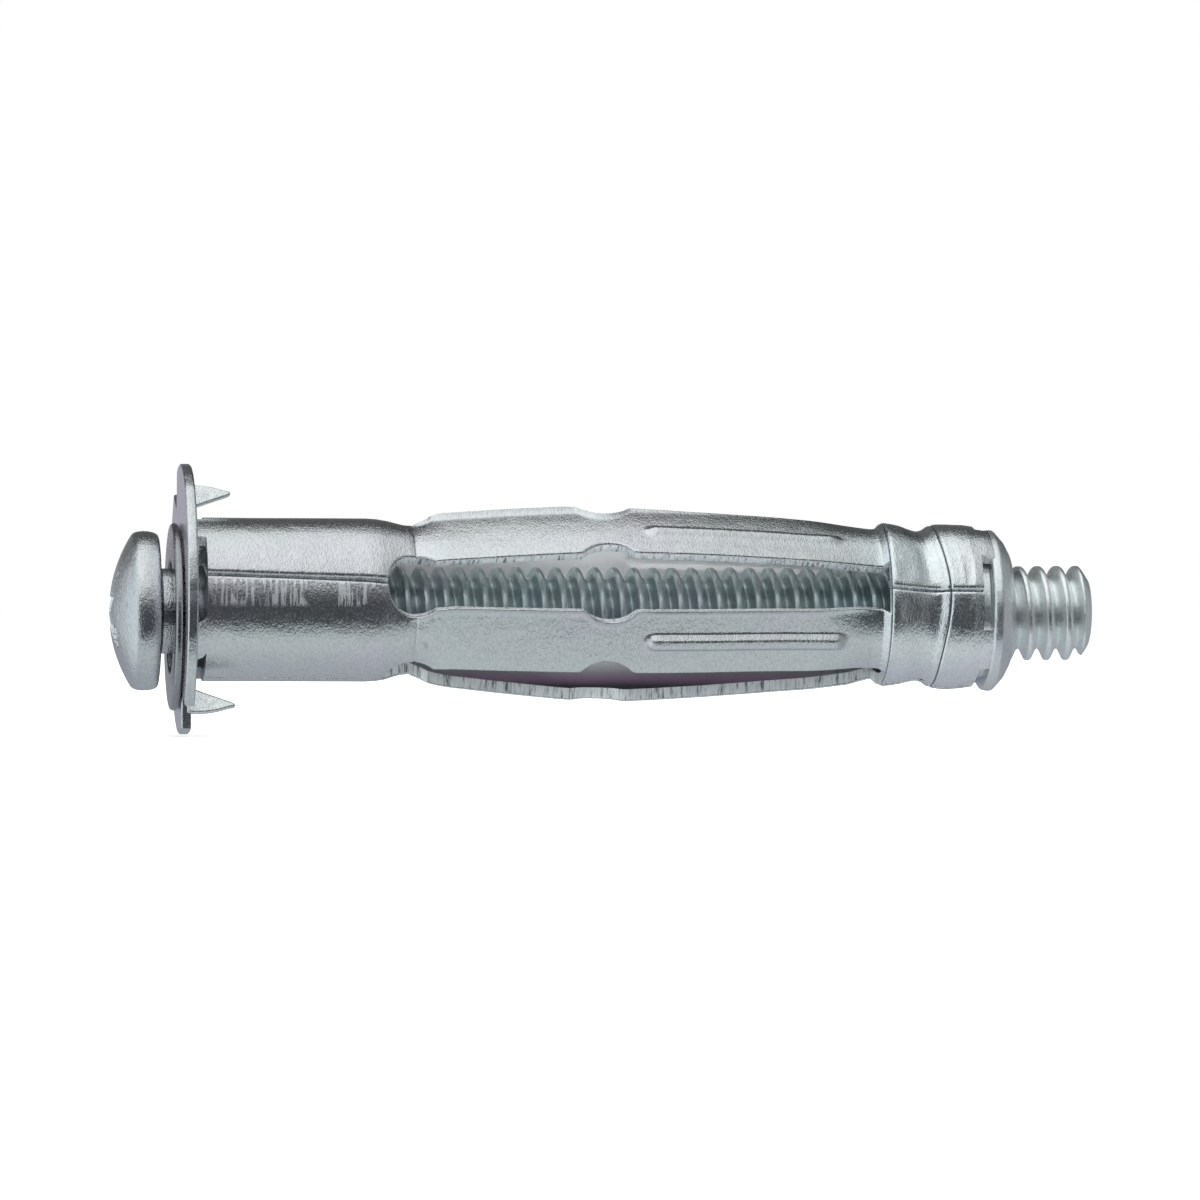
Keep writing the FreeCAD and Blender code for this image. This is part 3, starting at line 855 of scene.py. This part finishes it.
def make_thread():
    """The shank, with a right-handed helix up to its bevelled point."""
    points = []
    turns = int((THREAD_END - THREAD_START) / PITCH) + 3
    for turn in range(-1, turns):
        for phase, height in THREAD_FORM:
            for k in range(THREAD_SEGMENTS):
                x = THREAD_START + (turn + phase + k / THREAD_SEGMENTS) * PITCH
                x = min(THREAD_END, max(THREAD_START, x))
                radius = min(ROOT + (CREST - ROOT) * height, along_line(POINT_LINE, x))
                points.append(ring_point(x, radius, -FULL_TURN * k / THREAD_SEGMENTS))
    faces = []
    lines = len(points) // THREAD_SEGMENTS
    for i in range(lines - 1):
        for k in range(THREAD_SEGMENTS):
            # The last segment of a turn joins the first one of the next
            m, j = (k + 1, i) if k + 1 < THREAD_SEGMENTS else (0, i + len(THREAD_FORM))
            if j + 1 >= lines:
                continue
            a = i * THREAD_SEGMENTS + k
            b = j * THREAD_SEGMENTS + m
            faces.append([a, b, b + THREAD_SEGMENTS, a + THREAD_SEGMENTS])
    cap = len(points)
    points.append((THREAD_END, 0, 0))
    points += ring(THREAD_END, along_line(POINT_LINE, THREAD_END), THREAD_SEGMENTS, -1)
    for k in range(THREAD_SEGMENTS):
        faces.append([cap, cap + 1 + k, cap + 1 + (k + 1) % THREAD_SEGMENTS])
    points, faces = merge(points, faces)
    return make_mesh("screw_thread", points, faces, [SCREW], 80, drop=SCREW_LINE)


def recess_depth(across, up):
    """Depth of the cross recess at a place on the head."""
    y = across * math.cos(RECESS_TURN) + up * math.sin(RECESS_TURN)
    z = up * math.cos(RECESS_TURN) - across * math.sin(RECESS_TURN)
    # Distances from the side and from the end of the nearest arm
    side = max(
        RECESS_HALF - abs(z) if abs(y) < RECESS_ARM else -1,
        RECESS_HALF - abs(y) if abs(z) < RECESS_ARM else -1)
    end = RECESS_ARM - max(abs(y), abs(z))
    if side <= 0 or end <= 0:
        return 0.0
    return RECESS_DEPTH * min(1.0, side / RECESS_SIDE) * min(1.0, end / RECESS_END)


def make_head():
    """Pan head: a domed top with a cross recess, a rounded side and a flat underside."""
    rise = HEAD_RIM - HEAD_APEX
    dome = (HEAD_RADIUS ** 2 / rise + rise) / 2
    points = []
    for i in range(HEAD_RINGS + 1):
        radius = HEAD_RADIUS * i / HEAD_RINGS
        x = HEAD_APEX + dome - math.sqrt(dome ** 2 - radius ** 2)
        for _, y, z in ring(x, radius, HEAD_SEGMENTS):
            points.append((x + recess_depth(y, z), y, z))
    side = [
        (HEAD_RIM + 0.10, 4.99), (HEAD_RIM + 0.22, 5.06), (HEAD_RIM + 0.40, 5.11),
        (HEAD_RIM + 0.75, 5.15), (HEAD_RIM + 1.1, 5.13), (HEAD_RIM + 1.35, 5.08),
        (HEAD_RIM + 1.53, 5.01), (HEAD_FOOT - 0.05, 4.93), (HEAD_FOOT, 4.84), (HEAD_FOOT, 4.3),
        (HEAD_FOOT, 3.3), (HEAD_FOOT + 0.25, 2.75), (-0.4, 2.75),
    ]
    for x, radius in side:
        for k in range(HEAD_SEGMENTS):
            angle = FULL_TURN * k / HEAD_SEGMENTS
            uneven = 0.02 * float(wobble(x * 3, angle, 11)) if radius > 4.5 else 0.0
            points.append(ring_point(x, radius + uneven, angle))
    faces = []
    for i in range(HEAD_RINGS + len(side)):
        here = i * HEAD_SEGMENTS
        there = here + HEAD_SEGMENTS
        for k in range(HEAD_SEGMENTS):
            m = (k + 1) % HEAD_SEGMENTS
            faces.append([here + k, there + k, there + m, here + m])
    points, faces = merge(points, faces)
    return make_mesh("screw_head", points, faces, [HEAD], 38, drop=SCREW_LINE)


# Washer, nut and plate

# Sections of the two rings as (X, radius), and the radius of each corner
WASHER_SECTION = [(-1.3, 3.65), (-1.3, 6.05), (-0.8, 6.05), (-0.8, 3.65)]
WASHER_CORNERS = [0.1, 0.22, 0.22, 0.1]
NUT_SECTION = [
    (45.7, 3.13), (45.7, 3.55), (49.8, 3.55), (50.3, 4.3), (51.7, 4.3), (51.7, 5.2),
    (52.35, 5.28), (53.0, 4.55), (53.35, 3.9), (53.35, 3.13),
]
NUT_CORNERS = [0, 0.1, 0.1, 0.1, 0.1, 0.3, 0.3, 0.25, 0.2, 0.08]

# Plate: middle of its thickness, thickness, edge radius, outer radius and hole
PLATE_X, PLATE_THICKNESS, PLATE_EDGE = -0.38, 0.66, 0.13
PLATE_RADIUS, PLATE_HOLE = 8.72, 3.85
# The cut that a claw leaves: its start and end on the rim in degrees, and its inner corners
RELIEF_START, RELIEF_END = 51.2, -108.0
RELIEF_CORNERS = ((2.7, 6.4), (2.85, 5.95), (3.2, 5.95))

# Claw as (X, Z), its thickness, edge radius, root as (Y, Z) and lean
CLAW_OUTLINE = [
    (-0.35, 5.78), (0.1, 5.78), (0.35, 5.86), (1.2, 6.18), (2.1, 6.5), (2.5, 6.64),
    (2.7, 6.74), (2.76, 6.85), (2.68, 6.96), (2.35, 7.02), (1.6, 7.24), (0.9, 7.35),
    (0.3, 7.38), (-0.35, 7.34),
]
CLAW_THICKNESS, CLAW_EDGE = 0.5, 0.1
CLAW_ROOT = (2.45, 6.5)
CLAW_LEAN = math.radians(-19)

# Turns of a flat outline into the frame: its own axes to X, Y and Z
ACROSS_X = Matrix(((0, 0, 1, 0), (1, 0, 0, 0), (0, 1, 0, 0), (0, 0, 0, 1)))
ACROSS_Y = Matrix(((1, 0, 0, 0), (0, 0, -1, 0), (0, 1, 0, 0), (0, 0, 0, 1)))


def make_washer():
    points, faces = turned_mesh(rounded(WASHER_SECTION, WASHER_CORNERS))
    return make_mesh("washer_ring", points, faces, [WASHER_SHADED], 40, drop=WASHER_DROP)


def make_nut():
    points, faces = turned_mesh(rounded(NUT_SECTION, NUT_CORNERS))
    return make_mesh("nut_flange", points, faces, [NUT], 40, drop=NUT_DROP)


def flat_piece(name, outlines, thickness, edge, place, material, rim=None):
    """A flat sheet with rounded edges from closed outlines, holes after the rim.

    Its two flat sides take material. What doesn't face along X takes rim, if that is given.
    """
    curve = bpy.data.curves.new(name, "CURVE")
    curve.dimensions = "2D"
    curve.fill_mode = "BOTH"
    curve.extrude = (thickness / 2 - edge) * MM
    curve.bevel_depth = edge * MM
    curve.bevel_resolution = 3
    curve.offset = -edge * MM
    for outline in outlines:
        spline = curve.splines.new("POLY")
        spline.points.add(len(outline) - 1)
        for point, (across, up) in zip(spline.points, outline):
            point.co = (across * MM, up * MM, 0, 1)
        spline.use_cyclic_u = True
    temporary = add_object(name + "_curve", curve)
    bpy.context.view_layer.update()
    mesh = bpy.data.meshes.new_from_object(temporary.evaluated_get(
        bpy.context.evaluated_depsgraph_get()))
    bpy.data.objects.remove(temporary)
    mesh.transform(place)
    shade_smooth(mesh, 40)
    mesh.materials.clear()
    mesh.materials.append(material)
    if rim is not None:
        mesh.materials.append(rim)
        mesh.polygons.foreach_set(
            "material_index", [int(abs(face.normal.x) < 0.9) for face in mesh.polygons])
    mesh.name = name
    return add_object(name, mesh)


def plate_outline():
    """Rim of the plate with the cuts left by its two claws, as (Y, Z)."""
    line = []
    for sign in (1, -1):
        for degrees in np.linspace(RELIEF_START, RELIEF_END, 120):
            angle = math.radians(degrees)
            uneven = 0.02 * math.sin(9 * angle + sign) + 0.012 * math.sin(31 * angle)
            radius = PLATE_RADIUS + uneven
            line.append((sign * radius * math.cos(angle), sign * radius * math.sin(angle)))
        line += [(-sign * across, -sign * up) for across, up in RELIEF_CORNERS]
    return line


def make_plate():
    hole = [
        (PLATE_HOLE * math.cos(FULL_TURN * k / 72), PLATE_HOLE * math.sin(FULL_TURN * k / 72))
        for k in range(72)
    ]
    place = Matrix.Translation((PLATE_X * MM, 0, 0)) @ ACROSS_X
    return flat_piece(
        "plate_disc", [plate_outline(), hole], PLATE_THICKNESS, PLATE_EDGE, place, PLATE, RIM)


def make_claw(name, side):
    """A claw folded back off the plate. side is -1 for the lower, near one."""
    shaped = [(x, side * z) for x, z in CLAW_OUTLINE]
    root = Vector((0, side * CLAW_ROOT[0] * MM, side * CLAW_ROOT[1] * MM))
    lean = Matrix.Translation(root) @ Matrix.Rotation(CLAW_LEAN, 4, "X")
    lean = lean @ Matrix.Translation((0, 0, -root.z))
    return flat_piece(name, [shaped], CLAW_THICKNESS, CLAW_EDGE, lean @ ACROSS_Y, CLAW)


sleeve = make_sleeve()
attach(sleeve, "anchor")
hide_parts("sleeve")

thread = make_thread()
head = make_head()
for piece in (thread, head):
    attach(piece, "screw")
    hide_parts("screw")

washer = make_washer()
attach(washer, "washer")
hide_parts("washer")

nut = make_nut()
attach(nut, "anchor")
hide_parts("nut")

plate = make_plate()
claws = [make_claw("plate_claw_low", -1), make_claw("plate_claw_high", 1)]
for piece in [plate, *claws]:
    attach(piece, "anchor")
    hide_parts("flange_plate")


# Stage: pale floor, white surround and soft lamps. Lengths are in metres from here on.

FLOOR_HALF = 3.0
FLOOR_Z = -0.00885
FLOOR_COLOUR = (0.8, 0.8, 0.8, 1)
FLOOR_GLOW = 0.45

# What the metal sees round the X axis: degrees and colour. Two dark bands, in front below the
# level and high behind, give it the dark bands that it has in the photograph.
ROOM = [
    (-180, (0.32, 0.33, 0.37)), (-150, (0.40, 0.42, 0.46)), (-100, (0.50, 0.53, 0.56)),
    (-60, (0.62, 0.66, 0.67)), (-46, (0.56, 0.60, 0.61)), (-39, (0.075, 0.08, 0.088)),
    (0, (0.065, 0.07, 0.075)), (20, (0.30, 0.31, 0.32)), (33, (0.92, 0.94, 0.94)),
    (70, (1.05, 1.07, 1.07)), (114, (0.98, 1.0, 1.0)), (121, (0.085, 0.085, 0.085)),
    (166, (0.12, 0.12, 0.12)), (180, (0.42, 0.41, 0.46)),
]
# Its upper half darkens towards the tail's end: range of X, then places in it and colours
SLOPE_FROM = -0.5
SLOPE_TO = 0.6
SLOPE = [
    (0.1, (1.1, 1.1, 1.1)), (0.5, (1.03, 1.03, 1.03)), (0.6, (0.94, 0.94, 0.94)),
    (0.72, (0.7, 0.7, 0.7)), (0.9, (0.4, 0.4, 0.4)),
]
# Its end walls, pale at the head's end, and where along X they fade in
HEAD_WALL = (0.84, 0.89, 0.92)
TAIL_WALL = (0.34, 0.36, 0.37)
WALLS_START = 0.5
WALLS_FULL = 0.85
# What lights everything else
SOFT_LIGHT = (0.75, 0.76, 0.77, 1)

# Where the lamps and the camera point, near the middle of the part
LAMP_AIM = (0.026, 0, 0)
CAMERA_AIM = (0.02665, 0, 0)
CAMERA_YAW = math.radians(7.3)
CAMERA_ROLL = math.radians(0.27)
CAMERA_DISTANCE = 0.465
CAMERA_LIFT = 0.00007
SENSOR = 36
# A focal length of 7160 pixels in a picture 1200 wide
LENS = 7160 / 1200 * SENSOR


def make_floor():
    """A pale floor that keeps the shadow and is white to the camera."""
    mesh = bpy.data.meshes.new("floor")
    corners = ((-1, -1), (1, -1), (1, 1), (-1, 1))
    mesh.from_pydata(
        [(x * FLOOR_HALF, y * FLOOR_HALF, FLOOR_Z) for x, y in corners], [], [(0, 1, 2, 3)])
    material = bpy.data.materials.new("pale_floor")
    tree = node_tree(material)
    out = tree.nodes.new("ShaderNodeOutputMaterial")
    diffuse = tree.nodes.new("ShaderNodeBsdfDiffuse")
    diffuse.inputs["Color"].default_value = FLOOR_COLOUR
    glow = tree.nodes.new("ShaderNodeEmission")
    glow.inputs["Color"].default_value = (*WHITE, 1)
    sight, _ = seen_by_sight(tree)
    link(tree, maths(tree, "MULTIPLY", sight, FLOOR_GLOW), glow.inputs["Strength"])
    add = tree.nodes.new("ShaderNodeAddShader")
    link(tree, diffuse.outputs["BSDF"], add.inputs[0])
    link(tree, glow.outputs["Emission"], add.inputs[1])
    link(tree, add.outputs["Shader"], out.inputs["Surface"])
    mesh.materials.append(material)
    floor = add_object("floor", mesh)
    floor.visible_glossy = False


def make_world():
    """White to the camera, a room to the metal and an even light to all else."""
    world = bpy.data.worlds.new("studio")
    bpy.context.scene.world = world
    tree = node_tree(world)
    out = tree.nodes.new("ShaderNodeOutputWorld")
    x, y, z = coordinates(tree, tree.nodes.new("ShaderNodeTexCoord").outputs["Generated"])
    turn = maths(tree, "ARCTAN2", z, maths(tree, "MULTIPLY", y, -1.0))
    room = ramp(tree, scaled(tree, turn, -math.pi, math.pi), [
        ((degrees + 180) / 360, colour) for degrees, colour in ROOM])
    slope = ramp(tree, scaled(tree, x, SLOPE_FROM, SLOPE_TO), SLOPE)
    upper = fade_in(tree, scaled(tree, z, -0.3, 0.2), 0, 1)
    room = mix(tree, "MULTIPLY", upper, room, slope)
    endways = fade_in(tree, maths(tree, "ABSOLUTE", x), WALLS_START, WALLS_FULL)
    walls = ramp(tree, scaled(tree, x, -0.1, 0.1), [(0, HEAD_WALL), (1, TAIL_WALL)])
    room = mix(tree, "MIX", endways, room, walls)
    sight, camera_ray = seen_by_sight(tree)
    seen = tree.nodes.new("ShaderNodeBackground")
    link(tree, mix(tree, "MIX", camera_ray, room, WHITE), seen.inputs["Color"])
    lit = tree.nodes.new("ShaderNodeBackground")
    lit.inputs["Color"].default_value = SOFT_LIGHT
    chosen = tree.nodes.new("ShaderNodeMixShader")
    link(tree, sight, chosen.inputs["Fac"])
    link(tree, lit.outputs["Background"], chosen.inputs[1])
    link(tree, seen.outputs["Background"], chosen.inputs[2])
    link(tree, chosen.outputs["Shader"], out.inputs["Surface"])


def add_lamp(name, place, size, power):
    """A soft lamp that points at the part and isn't seen in it."""
    data = bpy.data.lights.new(name, "AREA")
    data.shape = "RECTANGLE"
    data.size, data.size_y = size
    data.energy = power
    lamp = add_object(name, data)
    lamp.location = place
    lamp.rotation_mode = "QUATERNION"
    lamp.rotation_quaternion = (Vector(LAMP_AIM) - Vector(place)).to_track_quat("-Z", "Y")
    lamp.visible_camera = False
    lamp.visible_glossy = False


def add_camera():
    """The photograph's camera: level, a little to the head's side."""
    away = Vector((-math.sin(CAMERA_YAW), -math.cos(CAMERA_YAW), 0))
    right = Vector((math.cos(CAMERA_YAW), -math.sin(CAMERA_YAW), 0))
    up = Vector((0, 0, 1))
    data = bpy.data.cameras.new("camera")
    data.lens = LENS
    data.sensor_width = SENSOR
    data.clip_start = 0.01
    camera = add_object("camera", data)
    camera.location = Vector(CAMERA_AIM) + away * CAMERA_DISTANCE + up * CAMERA_LIFT
    roll = Matrix.Rotation(CAMERA_ROLL, 3, away)
    camera.rotation_mode = "QUATERNION"
    camera.rotation_quaternion = (roll @ Matrix((right, up, away)).transposed()).to_quaternion()
    bpy.context.scene.camera = camera


make_floor()
make_world()
add_lamp("overhead", (0.0, -0.05, 0.5), (0.6, 0.35), 3.0)
add_lamp("front_fill", (0.1, -0.6, 0.25), (0.4, 0.4), 5.0)
add_camera()
bpy.context.scene.view_settings.view_transform = "Standard"
